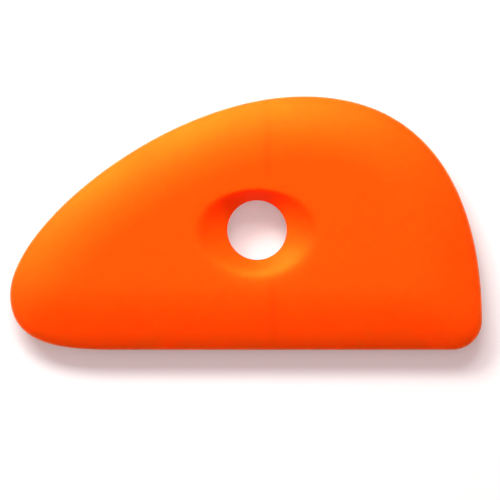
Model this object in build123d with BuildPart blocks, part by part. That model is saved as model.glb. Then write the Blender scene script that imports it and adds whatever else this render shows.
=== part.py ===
from build123d import *
from math import atan, cos, pi, sin, sqrt
import os

# A soft silicone pottery rib, cast in one piece, in millimetres.
# X runs along the straight working edge from the nose to the heel, Y up to the crest,
# and Z out of the front face. The origin is on the axis of the finger hole, at mid thickness.

# Overall size
rib_length = 108.0
rib_height = 58.0
rib_thickness = 8.5

# Taper from the flat plateau to the thin edge, alike on both faces
bevel_width = 14.5
edge_thickness = 1.8
rim_steps = 4
taper_steps = 8

# Corners of the working edge, at the rim and at the plateau: how far each runs along the
# edge and rises from it. The heel is a plain round, and the nose is longer than it is high.
heel_radius = 6.8
heel_radius_at_plateau = 3.0
nose_run_at_plateau = 9.0
nose_rise_at_plateau = 3.5

# Outline, as shares of the overall length and height
crest_share = 0.622
nose_tip_share = 0.219
nose_length_share = 0.232

# Fullness of each curve, as the share of the way to its corner that a handle reaches
shoulder_side_share = 0.297
shoulder_crest_share = 0.905
slope_crest_share = 0.464
slope_tip_share = 0.348
nose_tip_handle_share = 0.98
nose_edge_handle_share = 0.465
stations = 16
halvings = 40

# Finger hole, and the oval dish round it on both faces
hole_diameter = 13.6
hole_from_nose = 56.5
hole_from_edge = 27.4
web_thickness = 2.6
lip_round = 0.6
dish_length = 27.9
dish_height = 20.4
dish_drop = 0.6
dish_rim_round = 3.0
dish_steps = 5

# Worked out from the sizes above
half_thickness = rib_thickness / 2
half_web = web_thickness / 2
hole_radius = hole_diameter / 2
dish_depth = half_thickness - half_web
nose_run = nose_length_share * rib_length
nose_rise = nose_tip_share * rib_height

# The bore's lip is an arc that turns from the bore to the mean slope of the dish's wall
mean_reach = (dish_length + dish_height) / 4
lip_slant = atan(dish_depth / (mean_reach - hole_radius))
lip_reach = hole_radius + lip_round * (1 - sin(lip_slant))
half_land = half_web - lip_round * cos(lip_slant)

# The taper is an arc, level at the plateau, that leaves the round rim at this slant
edge_slant = 2 * atan((half_thickness - edge_thickness / 2) / bevel_width)
rim_turn = pi / 2 - edge_slant
rim_radius = edge_thickness / 2 / sin(rim_turn)
rim_inset = rim_radius * (1 - cos(rim_turn))
taper_radius = (bevel_width - rim_inset) / sin(edge_slant)

# Corners of the outline
heel_top = Vector(rib_length - hole_from_nose, heel_radius - hole_from_edge)
crest = Vector(crest_share * rib_length - hole_from_nose, rib_height - hole_from_edge)
nose_tip = Vector(-hole_from_nose, nose_rise - hole_from_edge)

# The two long curves of the back: the shoulder rises from the heel to the crest,
# and the slope falls from the crest to the tip of the nose
shoulder = Bezier(
    heel_top,
    heel_top + Vector(0, shoulder_side_share * (crest - heel_top).Y),
    crest + Vector(shoulder_crest_share * (heel_top - crest).X, 0),
    crest,
)
slope = Bezier(
    crest,
    crest + Vector(slope_crest_share * (nose_tip - crest).X, 0),
    nose_tip + Vector(0, slope_tip_share * (crest - nose_tip).Y),
    nose_tip,
)


def inset_point(curve, distance, inset):
    """A point of a curve, moved inwards by inset."""
    inwards = curve.tangent_at(distance, position_mode=PositionMode.LENGTH).rotate(Axis.Z, 90)
    return curve.position_at(distance, position_mode=PositionMode.LENGTH) + inwards * inset


def distance_at_height(curve, inset, height):
    """How far along a curve it passes a height once it is moved inwards, by halving."""
    low, high = 0, curve.length
    if inset_point(curve, low, inset).Y > inset_point(curve, high, inset).Y:
        low, high = high, low
    for _ in range(halvings):
        middle = (low + high) / 2
        if inset_point(curve, middle, inset).Y < height:
            low = middle
        else:
            high = middle
    return (low + high) / 2


def set_in(curve, inset, first, last):
    """The stretch of a curve between two distances along it, moved inwards by inset."""
    distances = [first + (last - first) * station / stations for station in range(stations + 1)]
    ends = [curve.tangent_at(distance, position_mode=PositionMode.LENGTH) for distance in (first, last)]
    return Spline(*[inset_point(curve, distance, inset) for distance in distances], tangents=ends)


def foot(point, direction, height):
    """Where the line through a point, in a direction, reaches a height."""
    return point + direction * ((height - point.Y) / direction.Y)


def outline(inset):
    """The rib's outline, moved inwards by inset, for a BuildLine."""
    edge_height = inset - hole_from_edge
    closing = inset / bevel_width
    heel_size = heel_radius + (heel_radius_at_plateau - heel_radius) * closing
    run = nose_run + (nose_run_at_plateau - nose_run) * closing
    rise = nose_rise + (nose_rise_at_plateau - nose_rise) * closing

    back_start = distance_at_height(shoulder, inset, edge_height + heel_size)
    fall_end = distance_at_height(slope, inset, edge_height + rise)
    back = set_in(shoulder, inset, back_start, shoulder.length)
    fall = set_in(slope, inset, 0, fall_end)
    heel_corner = foot(back @ 0, back % 0, edge_height)
    nose_corner = foot(fall @ 1, fall % 1, edge_height)
    heel_start = heel_corner - Vector((back @ 0 - heel_corner).length, 0)
    nose_end = nose_corner + Vector(run, 0)

    Line(nose_end, heel_start)
    TangentArc(heel_start, back @ 0, tangent=(1, 0))
    Bezier(
        fall @ 1,
        fall @ 1 + (nose_corner - fall @ 1) * nose_tip_handle_share,
        nose_end + (nose_corner - nose_end) * nose_edge_handle_share,
        nose_end,
    )


def dish_reach(rim_reach, depth):
    """How far the dish reaches at a depth: a straight wall from the lip, rounded at the rim."""
    wall_slant = atan(dish_depth / (rim_reach - lip_reach))
    if depth >= dish_rim_round * (1 - cos(wall_slant)):
        return rim_reach - (rim_reach - lip_reach) * depth / dish_depth
    rim_end = rim_reach + dish_rim_round * (1 - cos(wall_slant)) / sin(wall_slant)
    return rim_end - sqrt(dish_rim_round**2 - (dish_rim_round - depth) ** 2)


# How far in and how high each section of the front half lies: round the rim, then up the taper
rim_turns = [rim_turn * step / rim_steps for step in range(rim_steps)]
taper_slants = [edge_slant * (1 - step / taper_steps) for step in range(taper_steps + 1)]
profile = [(rim_radius * (1 - cos(turn)), rim_radius * sin(turn)) for turn in rim_turns]
profile += [
    (bevel_width - taper_radius * sin(slant), half_thickness - taper_radius * (1 - cos(slant)))
    for slant in taper_slants
]

# Depths of the dish's sections: close together where the rim rounds over, then one down to the lip
steepest_wall = atan(dish_depth / (dish_height / 2 - lip_reach))
dish_slants = [steepest_wall * step / dish_steps for step in range(dish_steps + 1)]
dish_depths = [dish_rim_round * (1 - cos(slant)) for slant in dish_slants] + [dish_depth]


with BuildPart() as rib_body:
    # Front half: the round of the thin rim, and the taper from there up to the plateau
    for inset, height in profile:
        with BuildSketch(Plane.XY.offset(height)):
            with BuildLine():
                outline(inset)
            make_face()
    loft(ruled=True)

    # Oval dish, whose wall runs down to a round lip at the hole
    for depth in dish_depths:
        drop = dish_drop * (1 - depth / dish_depth)
        with BuildSketch(Plane((0, -drop, half_thickness - depth))):
            Ellipse(dish_reach(dish_length / 2, depth), dish_reach(dish_height / 2, depth))
    loft(ruled=True, mode=Mode.SUBTRACT)

    # The back is the mirror image of the front
    mirror(about=Plane.XY)

    # Finger hole through both, its bore opening out at each lip
    with BuildSketch(Plane.XZ):
        with BuildLine():
            Line((hole_radius, 0), (hole_radius, half_land))
            lip = TangentArc((hole_radius, half_land), (lip_reach, half_web), tangent=(0, 1))
            Line(lip @ 1, (0, half_web))
            mirror(about=Plane.XZ)
            Line((0, half_web), (0, -half_web))
        make_face()
    revolve(axis=Axis.Z, mode=Mode.SUBTRACT)

rib_body.part.label = "rib_body"
os.makedirs("parts", exist_ok=True)
export_step(rib_body.part, "parts/rib_body.step")
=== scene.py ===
from math import atan, cos, pi, sin, tau
import bmesh
import bpy
import numpy as np
from mathutils import Matrix, Vector


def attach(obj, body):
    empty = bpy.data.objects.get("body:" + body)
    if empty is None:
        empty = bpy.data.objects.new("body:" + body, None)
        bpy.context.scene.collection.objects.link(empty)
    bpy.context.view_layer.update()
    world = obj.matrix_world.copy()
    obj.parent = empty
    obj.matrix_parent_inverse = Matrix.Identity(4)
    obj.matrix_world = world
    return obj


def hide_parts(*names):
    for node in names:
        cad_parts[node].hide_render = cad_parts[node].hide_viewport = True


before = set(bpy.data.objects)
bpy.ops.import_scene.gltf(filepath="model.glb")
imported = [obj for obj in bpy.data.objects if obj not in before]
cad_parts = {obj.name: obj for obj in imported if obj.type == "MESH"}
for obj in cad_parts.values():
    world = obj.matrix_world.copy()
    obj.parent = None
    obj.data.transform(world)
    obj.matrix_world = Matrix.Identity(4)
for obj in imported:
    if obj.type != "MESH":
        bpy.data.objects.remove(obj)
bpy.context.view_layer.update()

# A soft silicone pottery rib, lying on its back on a white table, in metres.
# X runs along the straight working edge, Y up to the crest and Z out of the front face.

MM = 0.001

# Sizes, in millimetres, as the solid has them
LENGTH = 108.0
HEIGHT = 58.0
THICKNESS = 8.5
HOLE_FROM_NOSE = 56.5
HOLE_FROM_EDGE = 27.4
BEVEL_WIDTH = 14.5
EDGE_THICKNESS = 1.8
HEEL_RADIUS, HEEL_RADIUS_AT_PLATEAU = 6.8, 3.0
NOSE_RUN, NOSE_RUN_AT_PLATEAU = 0.232 * LENGTH, 9.0
NOSE_RISE, NOSE_RISE_AT_PLATEAU = 0.219 * HEIGHT, 3.5
HOLE_RADIUS = 6.8
WEB_THICKNESS = 2.6
LIP_ROUND = 0.6
DISH_LENGTH, DISH_HEIGHT = 27.9, 20.4
DISH_DROP = 0.6
HALF = THICKNESS / 2
HALF_WEB = WEB_THICKNESS / 2

# Where the crest lies, and the fullness of each curve of the outline, as shares
CREST_SHARE = 0.622
SHOULDER_SIDE_SHARE, SHOULDER_CREST_SHARE = 0.297, 0.905
SLOPE_CREST_SHARE, SLOPE_TIP_SHARE = 0.464, 0.348
NOSE_TIP_HANDLE_SHARE, NOSE_EDGE_HANDLE_SHARE = 0.98, 0.465

# The parting line stands proud round the middle of the rim. Its flat top ends and its flank meets
# the rim at the first two heights, and the rim's own round is drawn from the third.
SEAM_PROUD = 0.04
SEAM_TOP, SEAM_FOOT, RIM_START = 0.05, 0.13, 0.26

# The knit line, a shallow groove above and below the hole where two flows of silicone met
KNIT_X_ABOVE, KNIT_X_BELOW = 2.6, 3.7
KNIT_HALF_WIDTH = 1.7
KNIT_DEPTH = 0.02
KNIT_FADE = 5.0

# The wall of the dish turns over at its rim: crisp above the hole, and soft below it.
# Its rings begin so many softnesses outside the rim, within this share of the plateau's reach.
RIM_SOFTNESS, RIM_SOFTNESS_SWING = 0.55, 0.4
RIM_SETBACK, RIM_SETBACK_BELOW = 0.4, 0.55
RIM_SPREAD = 4
PLATEAU_LIMIT = 0.98

# How finely the skin is modelled: points in a ring, points along a curve, and rings in each zone
COLUMNS = 720
CURVE_POINTS = 500
RIM_RINGS, TAPER_RINGS, PLATEAU_RINGS, DISH_RINGS, LIP_RINGS = 7, 16, 9, 18, 5
MIRROR_MERGE, SKIN_MERGE = 0.01, 0.002

# The silicone's own colour where the rib is thick; a lighter colour where it is thin and at the rim,
# which is painted glow standing for light shining through the thin silicone there; with the colours of
# the knit line and of the faint clouds, and how strongly they show
DEEP_ORANGE = (1.0, 0.057, 0.0003, 1)
THIN_GLOW_ORANGE = (1.0, 0.076, 0.001, 1)
RIM_GLOW_ORANGE = (1.0, 0.3, 0.08, 1)
KNIT_ORANGE = (0.9, 0.034, 0.0002, 1)
CLOUD_ORANGE = (1.0, 0.05, 0.0003, 1)
KNIT_STRENGTH = 0.75
CLOUD_STRENGTH = 0.3

# Gloss of the silicone as roughness, how far it swings, and how much duller the thin edge is
SATIN, SATIN_SWING = 0.54, 0.02
EDGE_DULLING = 0.02

# The surface's grain: lumps this many millimetres across, how rough each kind is, and their depth
PORE_SIZE, WAVE_SIZE, CLOUD_SIZE = 0.35, 9.0, 14.0
PORE_DETAIL, WAVE_DETAIL, CLOUD_DETAIL = 3.0, 1.0, 4.0
WAVE_SHARE = 6.0
GRAIN_DEPTH = 0.01
CLOUD_RANGE = 0.3, 0.7

# The table's size in metres, its own white and faint clouds, and the lift that the eye sees
# in its shadows
TABLE_SIZE = 1.6
TABLE_WHITE = (0.6, 0.78, 0.81, 1)
TABLE_CLOUD = (0.59, 0.77, 0.8, 1)
TABLE_LIFT = (1, 0.93, 0.93, 1)
TABLE_LIFT_STRENGTH = 0.3

# Light of the lamps and of the dim room
LAMP_WHITE, LEFT_WHITE, BROAD_WHITE = (1, 0.79, 0.75), (1, 0.8, 0.77), (1, 0.7, 0.68)
ROOM_GLOW, ROOM_STRENGTH = (1, 0.257, 0.24, 1), 0.275

# What the camera sees, in metres
VIEW_WIDTH = 0.1145
CAMERA_PLACE = (-0.0016, -0.00456, 0.6)
VIEW_DEPTH = 5

angles = np.arange(COLUMNS) * tau / COLUMNS


def bezier(start, start_handle, end_handle, end):
    """Points along a cubic curve, and the direction inwards at each of them."""
    t = np.linspace(0, 1, CURVE_POINTS)[:, None]
    p, q, r, s = (np.array(point) for point in (start, start_handle, end_handle, end))
    points = (1 - t) ** 3 * p + 3 * t * (1 - t) ** 2 * q + 3 * t**2 * (1 - t) * r + t**3 * s
    along = (1 - t) ** 2 * (q - p) + 2 * t * (1 - t) * (r - q) + t**2 * (s - r)
    along /= np.linalg.norm(along, axis=1)[:, None]
    return points, np.stack([-along[:, 1], along[:, 0]], axis=1)


# The two long curves of the back: the shoulder rises from the heel to the crest,
# and the slope falls from the crest to the tip of the nose
heel_top = (LENGTH - HOLE_FROM_NOSE, HEEL_RADIUS - HOLE_FROM_EDGE)
crest = (CREST_SHARE * LENGTH - HOLE_FROM_NOSE, HEIGHT - HOLE_FROM_EDGE)
nose_tip = (-HOLE_FROM_NOSE, NOSE_RISE - HOLE_FROM_EDGE)
shoulder, shoulder_inwards = bezier(
    heel_top,
    (heel_top[0], heel_top[1] + SHOULDER_SIDE_SHARE * (crest[1] - heel_top[1])),
    (crest[0] + SHOULDER_CREST_SHARE * (heel_top[0] - crest[0]), crest[1]),
    crest,
)
slope, slope_inwards = bezier(
    crest,
    (crest[0] + SLOPE_CREST_SHARE * (nose_tip[0] - crest[0]), crest[1]),
    (nose_tip[0], nose_tip[1] + SLOPE_TIP_SHARE * (crest[1] - nose_tip[1])),
    nose_tip,
)


def cut_at(curve, height):
    """The part of a curve that lies above a height, ended exactly on it."""
    above = curve[curve[:, 1] > height]
    rising = curve[0, 1] < curve[-1, 1]
    path = curve if rising else curve[::-1]
    x = np.interp(height, path[:, 1], path[:, 0])
    end = np.array([[x, height]])
    return np.vstack([end, above]) if rising else np.vstack([above, end])


def foot(near, end, height):
    """Where the line through the last two points of a curve reaches a height."""
    return end + (end - near) * (height - end[1]) / (end[1] - near[1])


def outline(inset):
    """The rib's outline, moved inwards by inset, as the solid has it."""
    edge = inset - HOLE_FROM_EDGE
    closing = inset / BEVEL_WIDTH
    heel = HEEL_RADIUS + (HEEL_RADIUS_AT_PLATEAU - HEEL_RADIUS) * closing
    run = NOSE_RUN + (NOSE_RUN_AT_PLATEAU - NOSE_RUN) * closing
    rise = NOSE_RISE + (NOSE_RISE_AT_PLATEAU - NOSE_RISE) * closing

    # The shoulder is level near the crest, so its cut is looked for in the part that rises
    whole_back = shoulder + shoulder_inwards * inset
    level = CURVE_POINTS * 3 // 4
    back = np.vstack([cut_at(whole_back[:level], edge + heel), whole_back[level:]])
    fall = cut_at(slope + slope_inwards * inset, edge + rise)

    heel_corner = foot(back[1], back[0], edge)
    heel_start = heel_corner - np.array([np.linalg.norm(back[0] - heel_corner), 0])
    turn = np.arctan2(*(back[0] - back[1])[::-1]) + pi
    radius = (back[0, 1] - edge) / (1 - cos(turn))
    turns = np.linspace(0, turn, CURVE_POINTS // 4)[:-1]
    heel_arc = heel_start + radius * np.stack([np.sin(turns), 1 - np.cos(turns)], axis=1)

    nose_corner = foot(fall[-2], fall[-1], edge)
    edge_start = nose_corner + np.array([run, 0])
    nose, _ = bezier(
        fall[-1],
        fall[-1] + (nose_corner - fall[-1]) * NOSE_TIP_HANDLE_SHARE,
        edge_start + (nose_corner - edge_start) * NOSE_EDGE_HANDLE_SHARE,
        edge_start,
    )
    straight = np.linspace(edge_start, heel_start, CURVE_POINTS)[1:-1]
    return np.vstack([heel_arc, back, fall[1:], nose[1:], straight])


def reach(inset):
    """How far from the hole's axis the outline lies in the direction of each column."""
    points = outline(inset)
    directions = np.arctan2(points[:, 1], points[:, 0]) % tau
    order = np.argsort(directions)
    return np.interp(angles, directions[order], np.hypot(*points[order].T), period=tau)


def ring(radii, heights):
    """The points of one ring of the skin, one for each column."""
    radii = np.broadcast_to(radii, (COLUMNS,))
    heights = np.broadcast_to(heights, (COLUMNS,))
    return np.stack([radii * np.cos(angles), radii * np.sin(angles), heights], axis=1)


def dish_rim():
    """How far from the hole's axis the rim of the oval dish lies in each direction."""
    a, b = DISH_LENGTH / 2, DISH_HEIGHT / 2
    c, s = np.cos(angles) / a, np.sin(angles) / b
    drop = DISH_DROP / b
    square = c**2 + s**2
    return (-s * drop + np.sqrt((s * drop) ** 2 + square * (1 - drop**2))) / square


def knit_groove(radii, rim, outer):
    """How deep the knit line lies at each point of a ring: it dies out at the dish and at the edge."""
    middle = np.where(np.sin(angles) > 0, KNIT_X_ABOVE, KNIT_X_BELOW)
    across = np.clip(np.abs(radii * np.cos(angles) - middle) / KNIT_HALF_WIDTH, 0, 1)
    along = np.clip((radii - rim) / KNIT_FADE, 0, 1) * np.clip((outer - radii) / KNIT_FADE, 0, 1)
    return KNIT_DEPTH * (1 + np.cos(pi * across)) / 2 * along


def shares(count):
    """Equal shares of a zone, one for each of its rings, up to its inner end."""
    return np.linspace(0, 1, count + 1)[1:]


def front_half():
    """The rings of the front half, from the parting line in to the middle of the bore."""
    edge_slant = 2 * atan((HALF - EDGE_THICKNESS / 2) / BEVEL_WIDTH)
    rim_turn = pi / 2 - edge_slant
    rim_radius = EDGE_THICKNESS / 2 / sin(rim_turn)
    rim_inset = rim_radius * (1 - cos(rim_turn))
    taper_radius = (BEVEL_WIDTH - rim_inset) / sin(edge_slant)

    # The dish falls in a straight wall from its rim to the lip of the bore
    rim = dish_rim()
    mean_reach = (DISH_LENGTH + DISH_HEIGHT) / 4
    lip_slant = atan((HALF - HALF_WEB) / (mean_reach - HOLE_RADIUS))
    lip_reach = HOLE_RADIUS + LIP_ROUND * (1 - sin(lip_slant))
    softness = RIM_SOFTNESS - RIM_SOFTNESS_SWING * np.sin(angles)
    turn_over = rim - RIM_SETBACK - RIM_SETBACK_BELOW * np.clip(-np.sin(angles), 0, 1)
    fall = (HALF - HALF_WEB) / np.log1p(np.exp((turn_over - lip_reach) / softness))

    def marked(radii, heights):
        """A ring of the taper, plateau or dish, lowered by the dish and by the knit line."""
        wall = fall * np.log1p(np.exp((turn_over - radii) / softness))
        return ring(radii, heights - wall - knit_groove(radii, rim, outer))

    # The parting line, a fine raised seam round the middle of the rim
    outer = reach(0)
    rings = [
        ring(outer + SEAM_PROUD, 0),
        ring(outer + SEAM_PROUD, SEAM_TOP),
        ring(outer, SEAM_FOOT),
    ]

    # Round of the rim, and the taper up to the plateau
    for turn in np.linspace(RIM_START / rim_radius, rim_turn, RIM_RINGS):
        rings.append(ring(reach(rim_radius * (1 - cos(turn))), rim_radius * sin(turn)))
    for share in shares(TAPER_RINGS):
        slant = edge_slant * (1 - share)
        inset = BEVEL_WIDTH - taper_radius * sin(slant)
        rings.append(marked(reach(inset), HALF - taper_radius * (1 - cos(slant))))

    # Plateau, and the dish down to the hole's lip
    plateau = reach(BEVEL_WIDTH)
    outside = np.minimum(rim + RIM_SPREAD * softness, plateau * PLATEAU_LIMIT)
    for share in shares(PLATEAU_RINGS):
        rings.append(marked(plateau + (outside - plateau) * share, HALF))
    for share in shares(DISH_RINGS):
        rings.append(marked(outside + (lip_reach - outside) * share, HALF))

    # Round lip, and the bore down to mid thickness
    for share in shares(LIP_RINGS):
        lean = lip_slant + (pi / 2 - lip_slant) * share
        lip_drop = LIP_ROUND * (cos(lip_slant) - cos(lean))
        rings.append(ring(HOLE_RADIUS + LIP_ROUND * (1 - sin(lean)), HALF_WEB - lip_drop))
    rings.append(ring(HOLE_RADIUS, 0))
    return rings


def shape_ring(verts, points):
    """Moves each point of a drawn ring to its place, found by its direction from the hole."""
    for vert in verts:
        column = round(np.arctan2(vert.co.y, vert.co.x) * COLUMNS / tau) % COLUMNS
        vert.co = Vector(points[column]) * MM


def silicone_rib():
    """The whole rib: one closed skin, drawn inwards ring by ring and mirrored for the back."""
    mesh = bmesh.new()
    first, *others = front_half()
    bmesh.ops.create_circle(mesh, segments=COLUMNS, radius=1)
    edges = mesh.edges[:]
    shape_ring(mesh.verts, first)
    for points in others:
        drawn = bmesh.ops.extrude_edge_only(mesh, edges=edges)["geom"]
        verts = {item for item in drawn if isinstance(item, bmesh.types.BMVert)}
        edges = [item for item in drawn if isinstance(item, bmesh.types.BMEdge)]
        edges = [edge for edge in edges if verts.issuperset(edge.verts)]
        shape_ring(verts, points)

    whole = mesh.verts[:] + mesh.edges[:] + mesh.faces[:]
    bmesh.ops.mirror(mesh, geom=whole, matrix=Matrix.Identity(4), merge_dist=MIRROR_MERGE * MM, axis="Z")
    bmesh.ops.remove_doubles(mesh, verts=mesh.verts, dist=SKIN_MERGE * MM)
    bmesh.ops.recalc_face_normals(mesh, faces=mesh.faces)
    for face in mesh.faces:
        face.smooth = True
    data = bpy.data.meshes.new("silicone_rib")
    mesh.to_mesh(data)
    mesh.free()
    piece = bpy.data.objects.new("silicone_rib", data)
    bpy.context.collection.objects.link(piece)
    return piece


def shader_group(name, *outputs):
    """An empty node group that reads a place on the piece, with its outputs named."""
    group = bpy.data.node_groups.new(name, "ShaderNodeTree")
    group.interface.new_socket("Place", in_out="INPUT", socket_type="NodeSocketVector")
    for output in outputs:
        group.interface.new_socket(output, in_out="OUTPUT", socket_type="NodeSocketFloat")
    place = group.nodes.new("NodeGroupInput").outputs["Place"]
    return group, place, group.nodes.new("NodeGroupOutput").inputs


def noise(tree, place, size, detail):
    """Soft noise, of lumps about so many millimetres across."""
    texture = tree.nodes.new("ShaderNodeTexNoise")
    texture.inputs["Scale"].default_value = 1 / (size * MM)
    texture.inputs["Detail"].default_value = detail
    tree.links.new(place, texture.inputs["Vector"])
    return texture.outputs["Fac"]


def calculate(tree, operation, *values):
    """One step of arithmetic, on numbers or on other nodes' outputs."""
    step = tree.nodes.new("ShaderNodeMath")
    step.operation = operation
    for socket, value in zip(step.inputs, values):
        if isinstance(value, (int, float)):
            socket.default_value = value
        else:
            tree.links.new(value, socket)
    return step.outputs[0]


def fade(tree, value, start, end, first=0.0, last=1.0):
    """A smooth change from first to last, while the value goes from start to end."""
    change = tree.nodes.new("ShaderNodeMapRange")
    change.interpolation_type = "SMOOTHSTEP"
    for socket, number in zip(("From Min", "From Max", "To Min", "To Max"), (start, end, first, last)):
        change.inputs[socket].default_value = number
    tree.links.new(value, change.inputs["Value"])
    return change.outputs["Result"]


def lay_over(tree, factor, under, over):
    """One colour laid over another, as strongly as the factor says."""
    mix = tree.nodes.new("ShaderNodeMix")
    mix.data_type = "RGBA"
    colours = [socket for socket in mix.inputs if socket.type == "RGBA"]
    tree.links.new(factor, mix.inputs["Factor"])
    for socket, value in zip(colours, (under, over)):
        if isinstance(value, tuple):
            socket.default_value = value
        else:
            tree.links.new(value, socket)
    return next(socket for socket in mix.outputs if socket.type == "RGBA")


def fine_grain():
    """Grain of a moulded or painted surface: fine pores on a slow waviness, and cloudy tones."""
    group, place, result = shader_group("fine_grain", "Tone", "Height")
    pores = noise(group, place, PORE_SIZE, PORE_DETAIL)
    waves = noise(group, place, WAVE_SIZE, WAVE_DETAIL)
    clouds = noise(group, place, CLOUD_SIZE, CLOUD_DETAIL)
    group.links.new(calculate(group, "MULTIPLY_ADD", waves, WAVE_SHARE, pores), result["Height"])
    group.links.new(clouds, result["Tone"])
    return group


def glow_and_knit_masks():
    """Masks for the colour: the thinness and the rim round the outline, where painted glow is laid, and
    the knit line where two flows of silicone met.
    """
    group, place, result = shader_group("glow_and_knit_masks", "Thinness", "Rim glow", "Knit line")
    split = group.nodes.new("ShaderNodeSeparateXYZ")
    group.links.new(place, split.inputs["Vector"])
    x, y, z = split.outputs
    off_axis = calculate(group, "ABSOLUTE", y)

    # Both faces are alike, so the distance from mid thickness tells how thick the rib is there
    depth = calculate(group, "ABSOLUTE", z)
    thinness = fade(group, depth, EDGE_THICKNESS / 2 * MM, HALF * MM, 1.0, 0.0)
    group.links.new(thinness, result["Thinness"])

    # The rim lies closest to mid thickness, and the middle of the bore, which does too, is left out
    beside = calculate(group, "LESS_THAN", calculate(group, "ABSOLUTE", x), HOLE_RADIUS * 2 * MM)
    level_with = calculate(group, "LESS_THAN", off_axis, HOLE_RADIUS * 2 * MM)
    away = calculate(group, "SUBTRACT", 1.0, calculate(group, "MULTIPLY", beside, level_with))
    # The rim's mask carries a painted glow: a pale colour standing for light shining through the thin rim
    rim = fade(group, depth, SEAM_FOOT * MM, EDGE_THICKNESS / 2 * MM, 1.0, 0.0)
    group.links.new(calculate(group, "MULTIPLY", rim, away), result["Rim glow"])

    # The knit line lies a little further from the hole's axis below it than above it
    above = calculate(group, "GREATER_THAN", y, 0.0)
    shift = calculate(group, "MULTIPLY_ADD", above, (KNIT_X_ABOVE - KNIT_X_BELOW) * MM, KNIT_X_BELOW * MM)
    off_line = calculate(group, "ABSOLUTE", calculate(group, "SUBTRACT", x, shift))
    across = fade(group, off_line, 0.0, KNIT_HALF_WIDTH * MM, 1.0, 0.0)
    along = fade(group, off_axis, DISH_HEIGHT / 2 * MM, (DISH_HEIGHT / 2 + KNIT_FADE) * MM)
    thick = calculate(group, "SUBTRACT", 1.0, thinness)
    line = calculate(group, "MULTIPLY", calculate(group, "MULTIPLY", across, along), thick)
    group.links.new(line, result["Knit line"])
    return group


def principled(name):
    """A new material, with its node tree and its shader."""
    material = bpy.data.materials.new(name)
    material.use_nodes = True
    return material, material.node_tree, material.node_tree.nodes["Principled BSDF"]


def use(tree, group):
    """One copy of a node group in a material, fed with the place on the piece."""
    node = tree.nodes.new("ShaderNodeGroup")
    node.node_tree = group
    place = tree.nodes.new("ShaderNodeTexCoord").outputs["Object"]
    tree.links.new(place, node.inputs["Place"])
    return node.outputs


def emboss(tree, height, shader):
    """Raises the surface by the grain's height."""
    relief = tree.nodes.new("ShaderNodeBump")
    relief.inputs["Distance"].default_value = GRAIN_DEPTH * MM
    tree.links.new(height, relief.inputs["Height"])
    tree.links.new(relief.outputs["Normal"], shader.inputs["Normal"])


def silicone(grain, masks):
    """Soft satin silicone, coloured through, with painted glow where it is thin: a lighter colour
    standing for light shining through the thin edge and rim.
    """
    material, tree, shader = principled("orange_silicone")
    shader.subsurface_method = "BURLEY"
    shader.inputs["Subsurface Weight"].default_value = 1.0
    shader.inputs["Subsurface Radius"].default_value = (1.0, 0.03, 0.01)
    shader.inputs["Subsurface Scale"].default_value = 0.012
    shader.inputs["IOR"].default_value = 1.6
    shader.inputs["Specular IOR Level"].default_value = 1.0
    shader.inputs["Specular Tint"].default_value = (1.0, 0.6, 0.03, 1)

    skin = use(tree, grain)
    marks = use(tree, masks)
    # Painted glow: the thin edge and the rim are coloured lighter, standing for light shining through the
    # silicone there
    colour = lay_over(tree, marks["Thinness"], DEEP_ORANGE, THIN_GLOW_ORANGE)
    colour = lay_over(tree, marks["Rim glow"], colour, RIM_GLOW_ORANGE)
    knit = calculate(tree, "MULTIPLY", marks["Knit line"], KNIT_STRENGTH)
    colour = lay_over(tree, knit, colour, KNIT_ORANGE)
    cloud = fade(tree, skin["Tone"], *CLOUD_RANGE, 0.0, CLOUD_STRENGTH)
    colour = lay_over(tree, cloud, colour, CLOUD_ORANGE)
    tree.links.new(colour, shader.inputs["Base Color"])

    # The skin's gloss is a little uneven, and handling dulls the thin edge
    gloss = fade(tree, skin["Tone"], *CLOUD_RANGE, SATIN - SATIN_SWING, SATIN + SATIN_SWING)
    worn = calculate(tree, "MULTIPLY_ADD", marks["Thinness"], EDGE_DULLING, gloss)
    tree.links.new(worn, shader.inputs["Roughness"])
    emboss(tree, skin["Height"], shader)
    return material


def table(grain):
    """A matt white table top: it keeps the shadow, and is seen pure white where the light falls."""
    bpy.ops.mesh.primitive_plane_add(size=TABLE_SIZE, location=(0, 0, -HALF * MM))
    top = bpy.context.object
    top.name = "table_top"
    material, tree, shader = principled("white_table")
    shader.inputs["Roughness"].default_value = 0.9
    shader.inputs["Specular IOR Level"].default_value = 0.0
    paint = use(tree, grain)
    tree.links.new(lay_over(tree, paint["Tone"], TABLE_WHITE, TABLE_CLOUD), shader.inputs["Base Color"])
    emboss(tree, paint["Height"], shader)

    # The lift is there for rays that show the table itself: seen straight, in gloss or through glass
    path = tree.nodes.new("ShaderNodeLightPath").outputs
    seen = calculate(tree, "MAXIMUM", path["Is Camera Ray"], path["Is Glossy Ray"])
    seen = calculate(tree, "MAXIMUM", seen, path["Is Transmission Ray"])
    shader.inputs["Emission Color"].default_value = TABLE_LIFT
    lift = calculate(tree, "MULTIPLY", seen, TABLE_LIFT_STRENGTH)
    tree.links.new(lift, shader.inputs["Emission Strength"])
    top.data.materials.append(material)


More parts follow.
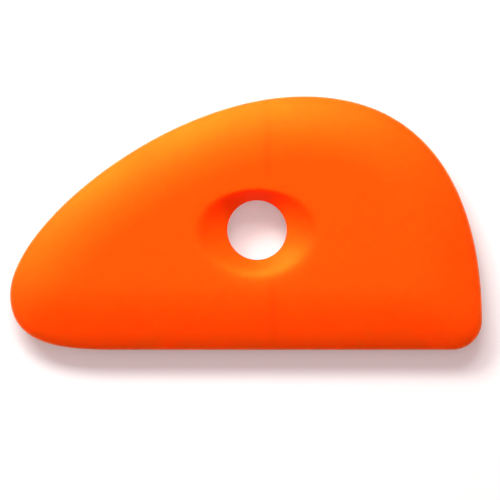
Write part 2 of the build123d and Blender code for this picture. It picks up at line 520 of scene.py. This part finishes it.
def lamp(name, towards, distance, size, energy, colour):
    """A flat soft lamp that faces the rib from a distance, in metres and watts."""
    light = bpy.data.lights.new(name, "AREA")
    light.shape = "RECTANGLE"
    light.size, light.size_y = size
    light.energy = energy
    light.color = colour
    holder = bpy.data.objects.new(name, light)
    holder.location = Vector(towards).normalized() * distance
    holder.rotation_euler = Vector(towards).to_track_quat("Z", "Y").to_euler()
    bpy.context.collection.objects.link(holder)


def room():
    """A dim even room that is plain white where it is seen."""
    world = bpy.data.worlds.new("room")
    world.use_nodes = True
    tree = world.node_tree
    glow = tree.nodes["Background"]
    glow.inputs["Color"].default_value = ROOM_GLOW
    glow.inputs["Strength"].default_value = ROOM_STRENGTH
    backdrop = tree.nodes.new("ShaderNodeBackground")
    backdrop.inputs["Color"].default_value = (1, 1, 1, 1)

    # Gloss keeps the room's dim glow, because nothing here is metal or glass
    path = tree.nodes.new("ShaderNodeLightPath").outputs
    seen = calculate(tree, "MAXIMUM", path["Is Camera Ray"], path["Is Transmission Ray"])
    choice = tree.nodes.new("ShaderNodeMixShader")
    tree.links.new(seen, choice.inputs[0])
    tree.links.new(glow.outputs[0], choice.inputs[1])
    tree.links.new(backdrop.outputs[0], choice.inputs[2])
    tree.links.new(choice.outputs[0], tree.nodes["World Output"].inputs["Surface"])
    bpy.context.scene.world = world


def camera():
    """Straight above, as the photograph is taken."""
    data = bpy.data.cameras.new("camera")
    data.type = "ORTHO"
    data.ortho_scale = VIEW_WIDTH
    data.clip_end = VIEW_DEPTH
    holder = bpy.data.objects.new("camera", data)
    holder.location = CAMERA_PLACE
    bpy.context.collection.objects.link(holder)
    bpy.context.scene.camera = holder


rib = silicone_rib()
grain = fine_grain()
rib.data.materials.append(silicone(grain, glow_and_knit_masks()))
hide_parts("rib_body")
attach(rib, "root")

# The stage: soft lamps at the back left and high at the back, a weak one low on the left,
# and a broad one overhead
table(grain)
room()
lamp("main_lamp", (-0.42, 0.73, 0.54), 0.8, (0.44, 0.2), 8.6, LAMP_WHITE)
lamp("high_lamp", (0.0, 0.73, 0.68), 0.8, (0.4, 0.24), 4.2, LAMP_WHITE)
lamp("left_lamp", (-0.82, 0.1, 0.42), 0.8, (0.32, 0.24), 0.5, LEFT_WHITE)
lamp("broad_lamp", (0.1, 0.2, 0.95), 1.2, (0.9, 0.9), 3.0, BROAD_WHITE)
camera()
bpy.context.scene.view_settings.view_transform = "Standard"
